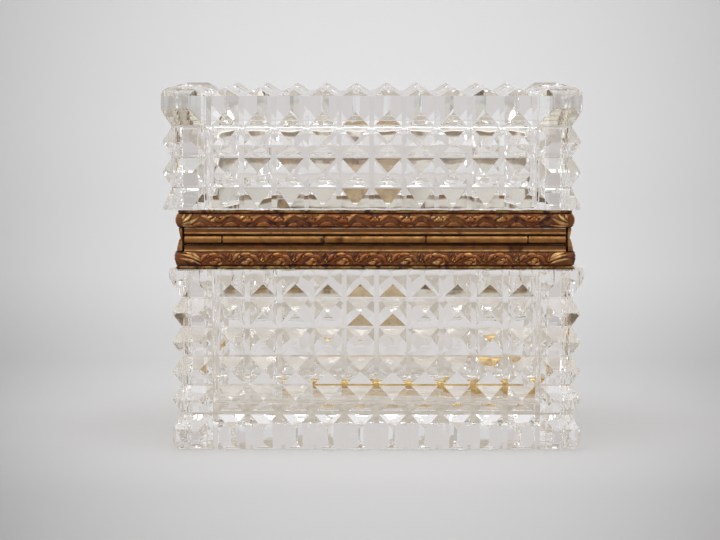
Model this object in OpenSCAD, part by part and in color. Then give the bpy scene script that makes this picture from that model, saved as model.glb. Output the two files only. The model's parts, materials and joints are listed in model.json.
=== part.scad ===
// Cut glass casket with a hinged lid, gilt metal bands, a small box lock and its key.
// X runs along the length, Y from the lock (front) to the hinge (back), Z up from the table.

/* [Glass] */
// Length of the base glass, over its points
glass_w = 132.4; // [126:0.2:146]
// Depth of the base glass, over its points
glass_d = 88; // [82:0.5:100]
// Height of the base glass
base_h = 59; // [57:0.5:66]
// Height of the lid glass, over its points
lid_h = 39.5; // [38:0.5:46]
// How far the lid's points stand out past the base's points, on each side
lid_overhang = 1.2; // [0:0.05:1.5]
// How far the base's corner blocks stand out past its points, under the metal
base_proud = 1.4; // [0.2:0.1:1.8]
// How far the lid's corner blocks stand out past its points, at the top
lid_proud = 0.6; // [0.2:0.1:1.2]
// How far the base glass sits to one side of its metal, along X
base_shift = -0.5; // [-0.8:0.1:0.8]
// How far the lid glass sits to one side of its metal, along X
lid_shift = 1.1; // [-1.2:0.1:1.2]
// Thickness of the glass walls, over the points
glass_wall = 9.5; // [9:0.1:11]
// Thickness of the base glass under its hollow
floor_t = 14; // [11:0.5:18]
// Thickness of the lid's top, over its points
top_t = 12.5; // [10:0.5:15]
// Radius of the upright corners of the hollow
hollow_r = 7; // [5:0.5:9]
// Radius between a wall and the floor of the hollow
hollow_foot_r = 3; // [2:0.5:4]
// Radius of the outer edges of the glass
edge_r = 3.6; // [2.5:0.1:4.2]
// Radius of the ground edge at the metal
rim_r = 0.5; // [0.3:0.1:0.8]

/* [Cut points] */
// Points along the length, between the corner blocks
points_x = 10; // [8:1:11]
// Points along the depth, between the corner blocks
points_y = 6; // [5:1:7]
// Length of a corner block, up to the first upright cut
corner_block = 13.7; // [12.5:0.1:15]
// Rows of points on the base, between its lowest and highest cut
base_rows = 4; // [3:1:4]
// Height of the base's lowest cut above the table
base_first = 11.8; // [11:0.1:13]
// Height of the plain band over the base's highest cut
base_last = 9.2; // [8.4:0.1:10]
// Rows of points on the lid, between its lowest and highest cut
lid_rows = 2; // [1:1:2]
// Height of the lid's lowest cut above the metal
lid_first = 7.2; // [6.8:0.1:8]
// Height of the lid's points over its highest cut
lid_last = 12.7; // [12:0.1:14]
// Depth of the cuts
cut_depth = 2.9; // [2.4:0.1:3.2]
// Width of the flat at the bottom of an upright cut
upright_flat = 1.6; // [0.8:0.1:2.2]
// Width of the flat at the bottom of a level cut
level_flat = 0.6; // [0.4:0.1:1.4]

/* [Metal bands] */
// Height of one band, from the glass to the parting
band_h = 9.75; // [9.6:0.05:11]
// Distance from the base's points in to the frame behind the mouldings
frame_inset = 4.9; // [4.6:0.1:5.4]
// Thickness of the base's mouldings at the belly of the frieze, under its leaves
base_moulding_t = 3.4; // [3.2:0.05:3.7]
// Thickness of the lid's mouldings at the belly of the frieze, under its leaves
lid_moulding_t = 2.85; // [2.7:0.05:3.2]
// Height of the bead next to the glass
bead_h = 1.3; // [1:0.1:1.5]
// How far the bead's crown lies in from the belly of the frieze
bead_in = 0.4; // [0.3:0.05:0.6]
// How far the frieze's belly falls away towards its edges
belly = 0.45; // [0.3:0.05:0.6]
// Depth of the dark lines on both sides of the frieze
quirk = 0.4; // [0.3:0.05:0.5]
// How far the mouldings draw in towards the parting
neck_in = 1.25; // [1.1:0.05:1.5]
// Thickness of the frame's sheet
sheet_t = 1.2; // [0.9:0.1:1.3]
// How far the frame's lip stands in from the hollow's walls
lip_gap = 0.2; // [0.1:0.05:0.4]
// Gap at the parting, between the lid's metal and the base's
parting_gap = 0.1; // [0.05:0.05:0.3]

/* [Hinge] */
// How far the barrel reaches past the frame, at each end
barrel_past = 0.4; // [0:0.1:0.6]
// Diameter of the barrel
barrel_d = 3; // [2.6:0.1:3.1]
// Length of the short knuckle at each end
end_knuckle = 12.2; // [10:0.1:16]
// Chamfer at a knuckle's ends
knuckle_chamfer = 0.15; // [0.05:0.05:0.25]
// Gap between two knuckles
knuckle_gap = 0.2; // [0.1:0.05:0.4]
// Diameter of the hinge pin
pin_d = 1.6; // [1.2:0.1:1.8]
// Gap on the radius between the pin and the lid's knuckles
pin_clear = 0.05; // [0.02:0.01:0.1]
// How far the pin's ends lie inside the barrel
pin_back = 0.6; // [0.2:0.1:1]
// Height of a leaf's strip
strip_h = 1.95; // [1.6:0.05:2.1]
// Gap between the barrel and a leaf's strip
strip_gap = 0.42; // [0.3:0.02:0.6]
// Gap between the barrel and the frame
barrel_gap = 0.25; // [0.2:0.05:0.35]
// How far a strip's face lies in from the barrel's outermost line
strip_back = 0.15; // [0.1:0.05:0.4]
// Width of the raised edges along a strip
strip_edge = 0.4; // [0.3:0.05:0.5]
// Depth of a strip's hollow face between its edges
strip_hollow = 0.12; // [0.05:0.01:0.2]
// Gap between the barrel's ends and the corner of the moulding
barrel_end_gap = 0.8; // [0.3:0.1:0.9]

/* [Lock] */
// Length of the lock case
case_w = 24; // [23:0.5:30]
// Height of the lock case
case_h = 16; // [15:0.5:19]
// Depth of the lock case
case_d = 5.2; // [5:0.1:6.5]
// Thickness of the case's plates
plate_t = 0.9; // [0.7:0.05:1]
// Radius of the keyhole's round part
keyhole_r = 1.65; // [1.6:0.05:1.75]
// Reach of the keyhole's slot below its centre
keyhole_reach = 3.5; // [3.4:0.05:3.6]
// Width of the keyhole's slot
keyhole_slot = 1.6; // [1.5:0.05:1.8]
// Height of the keyhole's centre below the parting
keyhole_drop = 5.4; // [5.2:0.05:5.5]
// Thickness of the bolt
bolt_t = 1.2; // [1:0.05:1.3]
// Travel of the bolt
bolt_throw = 3.4; // [3:0.1:3.6]
// Gap round the bolt
bolt_clear = 0.25; // [0.2:0.05:0.3]
// Thickness of the staple
staple_t = 1.6; // [1.3:0.1:1.7]
// Distance of the staple's middle from the keyhole's centre
staple_x = 6.8; // [6.6:0.1:7]
// Depth of the staple's tongue
tongue_d = 3.2; // [3:0.05:3.3]
// Length of the staple's plate
staple_w = 5.2; // [5:0.1:6]
// Height of the staple's plate
staple_h = 7; // [6.5:0.1:8]
// Gap between the parting and the staple's plate
staple_up = 1; // [0.6:0.1:1.2]
// Gap in front of the tongue, for its arc
tongue_front = 0.4; // [0.35:0.05:0.45]
// Diameter of the rivets
rivet_d = 1.2; // [1:0.1:1.4]
// Thickness of a rivet's head
head_t = 0.4; // [0.3:0.05:0.4]
// Distance from the case's ends to its rivets
rivet_in = 2.4; // [2.2:0.1:2.8]
// Depth of the case's upper rivets below its top
rivet_top = 2.5; // [2.2:0.1:3]
// Spacing of the case's upper and lower rivets
rivet_pitch = 6; // [5:0.1:6.2]

/* [Key] */
// Length of the key
key_len = 72; // [60:0.5:78]
// Diameter of the key's shank
shank_d = 2.9; // [2.6:0.1:3]
// Diameter of the bore in the shank
key_bore = 1.5; // [1.3:0.1:1.6]
// Depth of the bore in the shank
bore_depth = 11; // [8:0.5:14]
// Reach of the bit from the shank's centre
bit_reach = 3.2; // [3:0.05:3.25]
// Length of the bit along the shank
bit_len = 3.2; // [3:0.1:3.4]
// Thickness of the bit
bit_t = 1.2; // [1:0.05:1.3]
// Radius of the bow's ring, to the middle of its wire
bow_r = 8.2; // [7:0.1:9]
// Diameter of the bow's wire
bow_wire = 3.3; // [3.1:0.1:3.8]
// Gap between the bow and the end wall of the hollow
key_gap = 6.5; // [4:0.5:10]
// How far the key lies back from the middle of the box
key_back = 2; // [-4:0.5:6]
// Turn of the key on the floor of the box
key_turn = 5; // [-8:1:8]

/* [Hidden] */
$fn = 48;

// Heights that the pieces share
half_gap = parting_gap / 2;
parting_z = base_h + band_h;
lid_z = base_h + 2 * band_h;
lid_w = glass_w + 2 * lid_overhang;
lid_d = glass_d + 2 * lid_overhang;

// Spacing of the cuts
pitch_x = (glass_w - 2 * corner_block) / points_x;
pitch_y = (glass_d - 2 * corner_block) / points_y;
base_row = (base_h - base_first - base_last) / base_rows;
lid_row = (lid_h - lid_first - lid_last) / lid_rows;
crest_in = 0.04;      // a crest lies this far under the face of the blank
outline_step = 0.03;  // each set of cuts stands this far outside the one before

// Half sizes of the hollow, the frame and its lip, along X and Y
hollow_x = glass_w / 2 - glass_wall;
hollow_y = glass_d / 2 - glass_wall;
frame_x = glass_w / 2 - frame_inset;
frame_y = glass_d / 2 - frame_inset;
lip_x = hollow_x - lip_gap - max(abs(base_shift), abs(lid_shift));
lip_y = hollow_y - lip_gap;
lip_r = hollow_r - lip_gap;
lip_face = lip_y - sheet_t;
lip_top = band_h - half_gap;

// Hinge axis, and the strips beside the barrel
barrel_r = barrel_d / 2;
bore_r = pin_d / 2;
leaf_t = barrel_r - bore_r - pin_clear;
axis_y = frame_y + barrel_gap + barrel_r;
strip_low = barrel_r + strip_gap;
strip_top = strip_low + strip_h;
strip_d = barrel_gap + 2 * barrel_r - strip_back;
barrel_len = 2 * (frame_x + barrel_past);
knuckle_len = (barrel_len - 2 * end_knuckle) / 3;
notch_x = barrel_len / 2 + barrel_end_gap;

// Lock, measured in from the lip's face at the front (y) and up from the table (z)
case_y = -lip_face;
case_top = parting_z - half_gap;
keyhole_z = parting_z - keyhole_drop;
case_in_y = case_y + plate_t;
tongue_y = case_in_y + tongue_front;
bolt_y = tongue_y + tongue_d / 2 - 0.3 - bolt_t / 2;
bolt_high = case_top - plate_t - bolt_clear;
bolt_low = keyhole_z + 1.45;
talon_half = sqrt(bit_reach * bit_reach - 1.45 * 1.45);
bolt_end = staple_x - staple_t / 2 - 0.4;
bolt_tail = -case_w / 2 + plate_t + bolt_clear;
guide_x = bolt_tail + 1.6 + bolt_throw;
guide_z = (bolt_low + bolt_high) / 2;
tongue_low = bolt_low - 1.3;
staple_z = parting_z + staple_up;

// GLASS: a block cut with crossed grooves, which leave square points

// Surface along one face as [place, depth] pairs; cuts is [first cut, cells, pitch, flat, how far
// the points lie under the blank's face, how far before the first cut a crest ends its slope]. Where
// the last one is zero, that slope runs out to the blank's face.
function face_line(cuts) = len(cuts) == 0 ? [] :
    let (n = cuts[1], half = cuts[2] / 2, flat = cuts[3] / 2,
         crest = cuts[4] + crest_in, deep = cuts[4] + cut_depth,
         lead = half + crest * (half - flat) / (deep - crest))
    concat([cuts[5] > 0 ? [cuts[0] - cuts[5], crest] : [cuts[0] - lead, 0]],
        [for (i = [0 : n], p = [[-flat, deep], [flat, deep],
                                i < n ? [half, crest] : [lead, 0]])
            [cuts[0] + i * cuts[2] + p[0], p[1]]]);

function low_inset(cuts) = cuts[5] > 0 ? cuts[4] + crest_in : 0;

function backwards(list) = [for (i = [len(list) - 1 : -1 : 0]) list[i]];

// A quarter round, turning from angle a0
function quarter(x, y, r, a0) =
    let (n = r > 1 ? 8 : 1) [for (i = [0 : n]) [x, y] + r * [cos(a0 + 90 * i / n), sin(a0 + 90 * i / n)]];

// Closed outline of the block from low to high, with the cuts of its four sides
function block_outline(low, high, side, under, over, r_low, r_high) = let (inset = low_inset(side)) concat(
    quarter(low[0] + inset + r_low, low[1] + r_low, r_low, 180),
    [for (p = face_line(under)) [p[0], low[1] + p[1]]],
    quarter(high[0] - inset - r_low, low[1] + r_low, r_low, 270),
    [for (p = face_line(side)) [high[0] - p[1], p[0]]],
    quarter(high[0] - r_high, high[1] - r_high, r_high, 0),
    [for (p = backwards(face_line(over))) [p[0], high[1] - p[1]]],
    quarter(low[0] + r_high, high[1] - r_high, r_high, 90),
    [for (p = backwards(face_line(side))) [low[0] + p[1], p[0]]]);

// One face's upright cuts, with the points so far under the blank's face
function upright(points, pitch, under) = [-points * pitch / 2, points, pitch, upright_flat, under, 0];

// Upright cuts on four sides, level cuts on four sides, and crossed cuts on top. The half sizes go
// over the points; the blank stands out past them by proud, but not under the lowest cut, where the
// face slopes over the height slope.
module cut_block(half_x, half_y, low, high, first, rows, row, slope, proud, r_low, r_high, cut_top) {
    bx = half_x + proud;
    by = half_y + proud;
    r_side = edge_r + 2 * proud;
    levels = [first, rows, row, level_flat, proud, slope];
    along_x = upright(points_x, pitch_x, proud);
    along_y = upright(points_y, pitch_y, proud);
    s = outline_step;
    intersection() {
        translate([0, 0, low - 1]) linear_extrude(high - low + 2)
            polygon(block_outline([-bx, -by], [bx, by], along_y, along_x, along_x, r_side, r_side));
        rotate([90, 0, 90]) translate([0, 0, -bx - 1]) linear_extrude(2 * bx + 2)
            polygon(block_outline([-by - s, low], [by + s, high], levels, [],
                cut_top ? upright(points_y, pitch_y, 0) : [], r_low, r_high));
        rotate([90, 0, 0]) translate([0, 0, -by - 1]) linear_extrude(2 * by + 2)
            polygon(block_outline([-bx - 2 * s, low - s], [bx + 2 * s, high + s], levels, [],
                cut_top ? upright(points_x, pitch_x, 0) : [], r_low, r_high));
    }
}

// Flat shape with rounded corners
module rounded(x, y, r) {
    square([2 * x, 2 * y - 2 * r], center = true);
    square([2 * x - 2 * r, 2 * y], center = true);
    for (sx = [-1, 1], sy = [-1, 1]) translate([sx * (x - r), sy * (y - r)]) circle(r);
}

// Shape of a hollow that stands on z = 0 and opens upwards
module hollow(x, y, h) {
    r = hollow_foot_r;
    intersection() {
        linear_extrude(h) rounded(x, y, hollow_r);
        rotate([90, 0, 90]) translate([0, 0, -x - 1]) linear_extrude(2 * x + 2)
            polygon(concat(quarter(r - y, r, r, 180), quarter(y - r, r, r, 270),
                [[y, h + 1], [-y, h + 1]]));
        rotate([90, 0, 0]) translate([0, 0, -y - 1]) linear_extrude(2 * y + 2)
            polygon(concat(quarter(r - x, r, r, 180), quarter(x - r, r, r, 270),
                [[x, h + 1], [-x, h + 1]]));
    }
}

// METAL, written for the base; the lid's pieces are the same ones turned over

// Places a base piece, or turns it over into a lid piece
module on_base() { children(); }
module on_lid() { translate([0, 0, 2 * parting_z]) mirror([0, 0, 1]) children(); }

// Outline of a moulding: out from the frame (x) and up from the glass (y)
function moulding_outline(t) =
    let (b = bead_h, f = band_h - strip_top, r = b / 2, q = quirk, crown = t - bead_in)
    concat(
        [[0, 0], [crown - r, 0]],
        [for (a = [-60 : 20 : 60]) [crown - r + r * cos(a), r + r * sin(a)]],
        [[t - belly - q, b + q / 4]],
        [for (k = [0 : 10]) let (h = b + q / 2 + (f - b - q) * k / 10, c = 2 * k / 10 - 1)
            [t - belly * c * c, h]],
        [[t - belly - q, f - q / 4], [t - belly - q / 3, f + q / 2]],
        [for (k = [1 : 5]) let (h = f + q / 2 + (lip_top - f - q / 2) * k / 5)
            [t - belly - q / 3 - (neck_in - belly - q / 3) * pow(k / 5, 1.6), h]],
        [[0, lip_top]]);

// A moulding on the side y = +half_d, mitred at both ends
module moulding(half_w, half_d, t) {
    intersection() {
        translate([-half_w - 5, half_d, base_h]) rotate([90, 0, 90])
            linear_extrude(2 * half_w + 10) polygon(moulding_outline(t));
        translate([0, 0, base_h - 1]) linear_extrude(band_h + 2)
            polygon([[-half_w + 5, half_d - 5], [half_w - 5, half_d - 5],
                [half_w + 6, half_d + 6], [-half_w - 6, half_d + 6]]);
    }
}

// Keyhole, cut along Y
module keyhole_cut(y0, y1) {
    translate([0, y1, keyhole_z]) rotate([90, 0, 0]) {
        cylinder(r = keyhole_r, h = y1 - y0);
        translate([-keyhole_slot / 2, -keyhole_reach, 0]) cube([keyhole_slot, keyhole_reach, y1 - y0]);
    }
}

// Channel-shaped frame on the rim of the glass: lip, top and outer wall
module rim_frame() {
    difference() {
        translate([-frame_x, -frame_y, base_h]) cube([2 * frame_x, 2 * frame_y, lip_top]);
        translate([0, 0, base_h - 1]) linear_extrude(band_h + 2)
            rounded(lip_x - sheet_t, lip_face, lip_r - sheet_t);
        bed_room(-1);
    }
}

// The space for the cement inside the frame, from the given height below the glass rim
module bed_room(low) {
    difference() {
        translate([-frame_x + sheet_t, -frame_y + sheet_t, base_h + low])
            cube([2 * (frame_x - sheet_t), 2 * (frame_y - sheet_t), lip_top - sheet_t - low]);
        translate([0, 0, base_h + low - 1]) linear_extrude(band_h - low + 2)
            rounded(lip_x, lip_y, lip_r);
    }
}

module cement_bed() { bed_room(0); }

// The corners beside the hinge are filed back to the barrel's axis, so that the lid can turn
module hinge_relief() {
    translate([-glass_w / 2, axis_y - pin_clear, parting_z - strip_low])
        cube([glass_w, 2 * barrel_d, strip_low + 1]);
}

// Back moulding, with the room for the hinge
module back_moulding(t) {
    difference() {
        moulding(frame_x, frame_y, t);
        translate([-notch_x, frame_y - 1, parting_z - strip_top])
            cube([2 * notch_x, 2 * barrel_d, strip_top + 1]);
        hinge_relief();
    }
}

module side_moulding(side, t) {
    difference() {
        rotate(-90 * side) moulding(frame_y, frame_x, t);
        hinge_relief();
    }
}

// One knuckle with the web that joins it to the strip
module knuckle(x0, x1, bore) {
    difference() {
        union() {
            translate([x0, axis_y, parting_z]) rotate([0, 90, 0]) rotate_extrude()
                polygon([[0, 0], [barrel_r - knuckle_chamfer, 0], [barrel_r, knuckle_chamfer],
                    [barrel_r, x1 - x0 - knuckle_chamfer], [barrel_r - knuckle_chamfer, x1 - x0],
                    [0, x1 - x0]]);
            translate([x0, axis_y - barrel_r, parting_z - strip_low - strip_h / 2])
                cube([x1 - x0, leaf_t, strip_low + strip_h / 2]);
        }
        translate([x0 - 1, axis_y, parting_z]) rotate([0, 90, 0]) cylinder(r = bore, h = x1 - x0 + 2);
    }
}

module leaf_strip() {
    d = strip_d;
    e = strip_edge;
    c = strip_hollow;
    translate([-barrel_len / 2, frame_y, parting_z - strip_top]) rotate([90, 0, 90])
        linear_extrude(barrel_len) polygon([[0, 0], [d - e / 2, 0], [d - e / 8, e / 8],
            [d, e / 2], [d - c, e + c], [d - c, strip_h - e - c], [d, strip_h - e / 2],
            [d - e / 8, strip_h - e / 8], [d - e / 2, strip_h], [0, strip_h]]);
}

// NODES

module base_glass() {
    color([0.86, 0.9, 0.9, 0.4]) translate([base_shift, 0, 0]) difference() {
        cut_block(glass_w / 2, glass_d / 2, 0, base_h, base_first, base_rows, base_row,
            base_row / 2, base_proud, edge_r, rim_r, false);
        translate([0, 0, floor_t]) hollow(hollow_x, hollow_y, base_h);
    }
}

module lid_glass() {
    color([0.86, 0.9, 0.9, 0.4]) translate([lid_shift, 0, 0]) difference() {
        cut_block(lid_w / 2, lid_d / 2, lid_z, lid_z + lid_h, lid_z + lid_first, lid_rows, lid_row,
            lid_first - 2 * rim_r, lid_proud, rim_r, edge_r, true);
        translate([0, 0, lid_z + lid_h - top_t]) mirror([0, 0, 1]) hollow(hollow_x, hollow_y, lid_h);
    }
}

module base_cement_bed() {
    color([0.85, 0.82, 0.72]) difference() {
        cement_bed();
        keyhole_cut(-frame_y, -lip_y + 1);
    }
}
module lid_cement_bed() { color([0.85, 0.82, 0.72]) on_lid() cement_bed(); }

module base_rim_frame() {
    color([0.55, 0.42, 0.22]) difference() {
        rim_frame();
        keyhole_cut(-frame_y - 1, -lip_face + 1);
        case_rivets(0);
    }
}

module lid_rim_frame() {
    color([0.55, 0.42, 0.22]) difference() {
        on_lid() rim_frame();
        tongue_rivets(0);
    }
}

module base_moulding_front() {
    t = base_moulding_t;
    color([0.6, 0.35, 0.18]) difference() {
        union() {
            mirror([0, 1, 0]) moulding(frame_x, frame_y, t);
            // boss round the keyhole
            translate([0, -frame_y - 1, keyhole_z]) rotate([90, 0, 0]) linear_extrude(t - 0.7) {
                circle(3.6);
                translate([-2.6, -3.95]) square([5.2, 3.95]);
            }
        }
        keyhole_cut(-frame_y - 6, -frame_y + 1);
    }
}
module base_moulding_back() { color([0.6, 0.35, 0.18]) back_moulding(base_moulding_t); }
module base_moulding_left() { color([0.6, 0.35, 0.18]) side_moulding(-1, base_moulding_t); }
module base_moulding_right() { color([0.6, 0.35, 0.18]) side_moulding(1, base_moulding_t); }
module lid_moulding_front() {
    color([0.6, 0.35, 0.18]) on_lid() mirror([0, 1, 0]) moulding(frame_x, frame_y, lid_moulding_t);
}
module lid_moulding_back() { color([0.6, 0.35, 0.18]) on_lid() back_moulding(lid_moulding_t); }
module lid_moulding_left() { color([0.6, 0.35, 0.18]) on_lid() side_moulding(-1, lid_moulding_t); }
module lid_moulding_right() { color([0.6, 0.35, 0.18]) on_lid() side_moulding(1, lid_moulding_t); }

module hinge_leaf_base() {
    color([0.7, 0.55, 0.3]) {
        leaf_strip();
        for (side = [-1, 1]) {
            x = side * knuckle_len;
            knuckle(x - (knuckle_len - knuckle_gap) / 2, x + (knuckle_len - knuckle_gap) / 2, bore_r);
        }
    }
}

module hinge_leaf_lid() {
    r = bore_r + pin_clear;
    color([0.7, 0.55, 0.3]) on_lid() {
        leaf_strip();
        knuckle(-(knuckle_len - knuckle_gap) / 2, (knuckle_len - knuckle_gap) / 2, r);
        for (side = [-1, 1]) {
            x0 = 1.5 * knuckle_len + knuckle_gap / 2;
            x1 = barrel_len / 2;
            knuckle(side > 0 ? x0 : -x1, side > 0 ? x1 : -x0, r);
        }
    }
}

module hinge_pin() {
    color([0.6, 0.6, 0.58]) translate([-barrel_len / 2 + pin_back, axis_y, parting_z])
        rotate([0, 90, 0]) cylinder(r = bore_r, h = barrel_len - 2 * pin_back);
}

// Tray of the lock, open towards the inside of the box
module lock_case() {
    color([0.62, 0.48, 0.26]) difference() {
        translate([-case_w / 2, case_y, case_top - case_h]) cube([case_w, case_d, case_h]);
        translate([-case_w / 2 + plate_t, case_in_y, case_top - case_h + plate_t])
            cube([case_w - 2 * plate_t, case_d, case_h - 2 * plate_t]);
        keyhole_cut(case_y - 1, case_in_y + 1);
        // opening for the staple
        translate([staple_x - staple_t / 2 - 0.3, case_in_y, case_top - plate_t - 1])
            cube([staple_t + 0.6, tongue_front + tongue_d + 0.25, plate_t + 2]);
        case_rivets(0);
        guide();
    }
}

module lock_cap() {
    color([0.66, 0.5, 0.28]) difference() {
        translate([-case_w / 2, case_y + case_d, case_top - case_h]) cube([case_w, plate_t, case_h]);
        drill();
    }
}

// Rivets that hold the case to the lip
module case_rivets(head) {
    for (sx = [-1, 1], down = [rivet_top, rivet_top + rivet_pitch])
        translate([sx * (case_w / 2 - rivet_in), case_in_y, case_top - down]) rotate([90, 0, 0]) {
            cylinder(d = rivet_d, h = plate_t + sheet_t);
            if (head > 0) translate([0, 0, -head]) cylinder(d = rivet_d + 2 * head, h = head);
        }
}
module lock_rivets() { color([0.75, 0.62, 0.36]) case_rivets(head_t); }

// Pin that the hollow key turns on
module drill() {
    translate([0, case_y + case_d + plate_t, keyhole_z]) rotate([90, 0, 0])
        cylinder(d = key_bore - 0.3, h = case_d + plate_t - plate_t - 0.2);
}
module lock_drill_pin() { color([0.6, 0.6, 0.58]) drill(); }

// Pin that guides the bolt's tail
module guide() {
    translate([guide_x, case_y + 3.6, guide_z]) rotate([90, 0, 0]) cylinder(d = rivet_d, h = 3.6);
}
module bolt_guide_pin() { color([0.6, 0.6, 0.58]) guide(); }

module lock_bolt() {
    color([0.62, 0.6, 0.56]) translate([0, bolt_y + bolt_t, 0]) rotate([90, 0, 0])
        linear_extrude(bolt_t) difference() {
            translate([bolt_tail, bolt_low]) square([bolt_end - bolt_tail, bolt_high - bolt_low]);
            // talon for the key's bit
            translate([-talon_half, bolt_low - 1])
                square([2 * talon_half - bolt_throw, keyhole_z + bit_reach + 0.2 - bolt_low + 1]);
            // finger that goes through the staple
            translate([bolt_end - bolt_throw - 0.2, bolt_low - 1]) square([9, 1.3]);
            // slot on the guide pin
            translate([guide_x - bolt_throw - rivet_d / 2 - 0.15, guide_z - rivet_d / 2 - 0.15])
                square([bolt_throw + rivet_d + 0.3, rivet_d + 0.3]);
        }
}

// Leaf spring under the bolt's tail
module bolt_spring() {
    w = -case_w / 2 + plate_t;
    color([0.5, 0.5, 0.52]) translate([0, bolt_y + bolt_t, 0]) rotate([90, 0, 0]) linear_extrude(bolt_t)
        polygon([[w, bolt_low - 4.6], [w + 0.4, bolt_low - 4.6], [w + 0.4, bolt_low - 2.9],
            [w + 2.2, bolt_low - 0.95], [w + 4.4, bolt_low - 0.5], [w + 6.6, bolt_low - 0.95],
            [w + 6.8, bolt_low - 0.6], [w + 4.4, bolt_low - 0.1], [w + 2, bolt_low - 0.6],
            [w, bolt_low - 2.7]]);
}

module tongue_rivets(head) {
    for (part = [0.25, 0.75])
        translate([staple_x + (staple_w - rivet_d / 2) / 2, case_y, staple_z + part * staple_h])
        rotate([90, 0, 0]) {
            cylinder(d = rivet_d, h = sheet_t);
            translate([0, 0, -plate_t - head]) cylinder(d = rivet_d, h = plate_t + 2 * head + 0.1);
            if (head > 0) translate([0, 0, -plate_t - head]) cylinder(d = rivet_d + 2 * head, h = head);
        }
}

module lid_staple() {
    color([0.7, 0.55, 0.3]) difference() {
        union() {
            // plate on the lid's lip
            translate([staple_x - staple_t / 2, case_y, staple_z]) cube([staple_w, plate_t, staple_h]);
            // tongue that drops into the lock
            translate([staple_x - staple_t / 2, case_y, staple_z])
                cube([staple_t, plate_t + tongue_front + tongue_d, staple_h / 2]);
            translate([staple_x - staple_t / 2, tongue_y, tongue_low])
                cube([staple_t, tongue_d, staple_z - tongue_low + 1]);
        }
        // eye for the bolt
        translate([staple_x - staple_t, bolt_y - 0.2, bolt_low + 0.1])
            cube([2 * staple_t, bolt_t + 0.4, bolt_high - bolt_low + 0.1]);
        tongue_rivets(0);
    }
}
module staple_rivets() { color([0.75, 0.62, 0.36]) tongue_rivets(head_t); }

// Key lying on the floor of the box, its bow towards -X
module key() {
    r = shank_d / 2;
    bow_out = bow_r + bow_wire / 2;
    end_x = key_len - bow_out;
    bit_x = end_x - bit_len - r / 2;
    // turned rings on the shank: place, length and radius
    rings = [[bow_out - 0.6, 1.6, bow_wire / 2], [bow_out + 1.8, 0.9, r + 0.15],
        [bow_out + 3.6, 0.9, r + 0.15], [bit_x - bit_len, 0.9, r + 0.15]];
    color([0.85, 0.66, 0.3])
        translate([base_shift - hollow_x + key_gap + bow_out, key_back, floor_t + bow_wire / 2])
        rotate(-key_turn) difference() {
            union() {
                rotate_extrude() translate([bow_r, 0]) circle(bow_wire / 2);
                translate([bow_r, 0, 0]) rotate([0, 90, 0]) cylinder(r = r, h = end_x - bow_r);
                for (c = rings) translate([c[0], 0, 0]) rotate([0, 90, 0]) cylinder(r = c[2], h = c[1]);
                difference() {
                    translate([bit_x, -bit_reach, -bit_t / 2]) cube([bit_len, bit_reach, bit_t]);
                    // ward slot in the bit
                    translate([bit_x + bit_len / 2 - 0.25, -bit_reach - 1, -bit_t])
                        cube([0.5, 2, 2 * bit_t]);
                }
            }
            translate([end_x - bore_depth, 0, 0]) rotate([0, 90, 0])
                cylinder(d = key_bore, h = bore_depth + 1);
        }
}

base_glass();
base_cement_bed();
base_rim_frame();
base_moulding_front();
base_moulding_back();
base_moulding_left();
base_moulding_right();
hinge_leaf_base();
hinge_pin();
lock_case();
lock_cap();
lock_rivets();
lock_drill_pin();
bolt_guide_pin();
bolt_spring();
lock_bolt();
key();
lid_glass();
lid_cement_bed();
lid_rim_frame();
lid_moulding_front();
lid_moulding_back();
lid_moulding_left();
lid_moulding_right();
hinge_leaf_lid();
lid_staple();
staple_rivets();
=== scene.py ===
# Cut glass casket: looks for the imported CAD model, with its studio, lamps and camera
import json
import math
import random

import bmesh
import bpy
from mathutils import Matrix, Vector


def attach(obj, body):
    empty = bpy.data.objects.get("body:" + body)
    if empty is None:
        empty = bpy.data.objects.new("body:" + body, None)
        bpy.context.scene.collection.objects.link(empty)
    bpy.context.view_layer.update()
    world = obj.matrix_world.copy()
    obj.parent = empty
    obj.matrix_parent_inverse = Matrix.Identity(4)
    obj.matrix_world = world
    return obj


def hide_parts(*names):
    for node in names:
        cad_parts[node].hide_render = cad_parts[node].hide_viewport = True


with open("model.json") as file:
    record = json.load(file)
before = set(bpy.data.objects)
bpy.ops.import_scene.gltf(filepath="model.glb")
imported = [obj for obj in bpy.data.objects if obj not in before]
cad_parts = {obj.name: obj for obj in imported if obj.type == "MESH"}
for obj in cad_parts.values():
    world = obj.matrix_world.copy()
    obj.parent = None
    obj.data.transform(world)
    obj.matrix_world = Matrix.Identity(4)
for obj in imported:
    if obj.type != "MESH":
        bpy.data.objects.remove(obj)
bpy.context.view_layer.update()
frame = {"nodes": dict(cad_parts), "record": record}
scene = bpy.context.scene
scene.view_settings.view_transform = "Standard"
mm = 0.001
scene.cycles.max_bounces = 48
scene.cycles.transmission_bounces = 32
scene.cycles.glossy_bounces = 32
print("frame loaded")

# node helpers


def addNode(tree, kind, settings=None, **values):
    node = tree.nodes.new(kind)
    for name, value in (settings or {}).items():
        setattr(node, name, value)
    for name, value in values.items():
        node.inputs[name].default_value = value
    return node


def join(tree, source, target):
    tree.links.new(source, target)


def newMaterial(name, **values):
    material = bpy.data.materials.new(name)
    material.use_nodes = True
    tree = material.node_tree
    shader = tree.nodes["Principled BSDF"]
    for socket, value in values.items():
        shader.inputs[socket].default_value = value
    return material, tree, shader


def giveMaterial(obj, material):
    obj.data.materials.clear()
    obj.data.materials.append(material)


def mixColour(tree, factor, first, second, blend="MIX"):
    node = tree.nodes.new("ShaderNodeMix")
    node.data_type = "RGBA"
    node.blend_type = blend
    for socket, value in ((node.inputs[0], factor), (node.inputs[6], first), (node.inputs[7], second)):
        if isinstance(value, (int, float, tuple)):
            socket.default_value = value
        else:
            join(tree, value, socket)
    return node.outputs[2]


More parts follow.
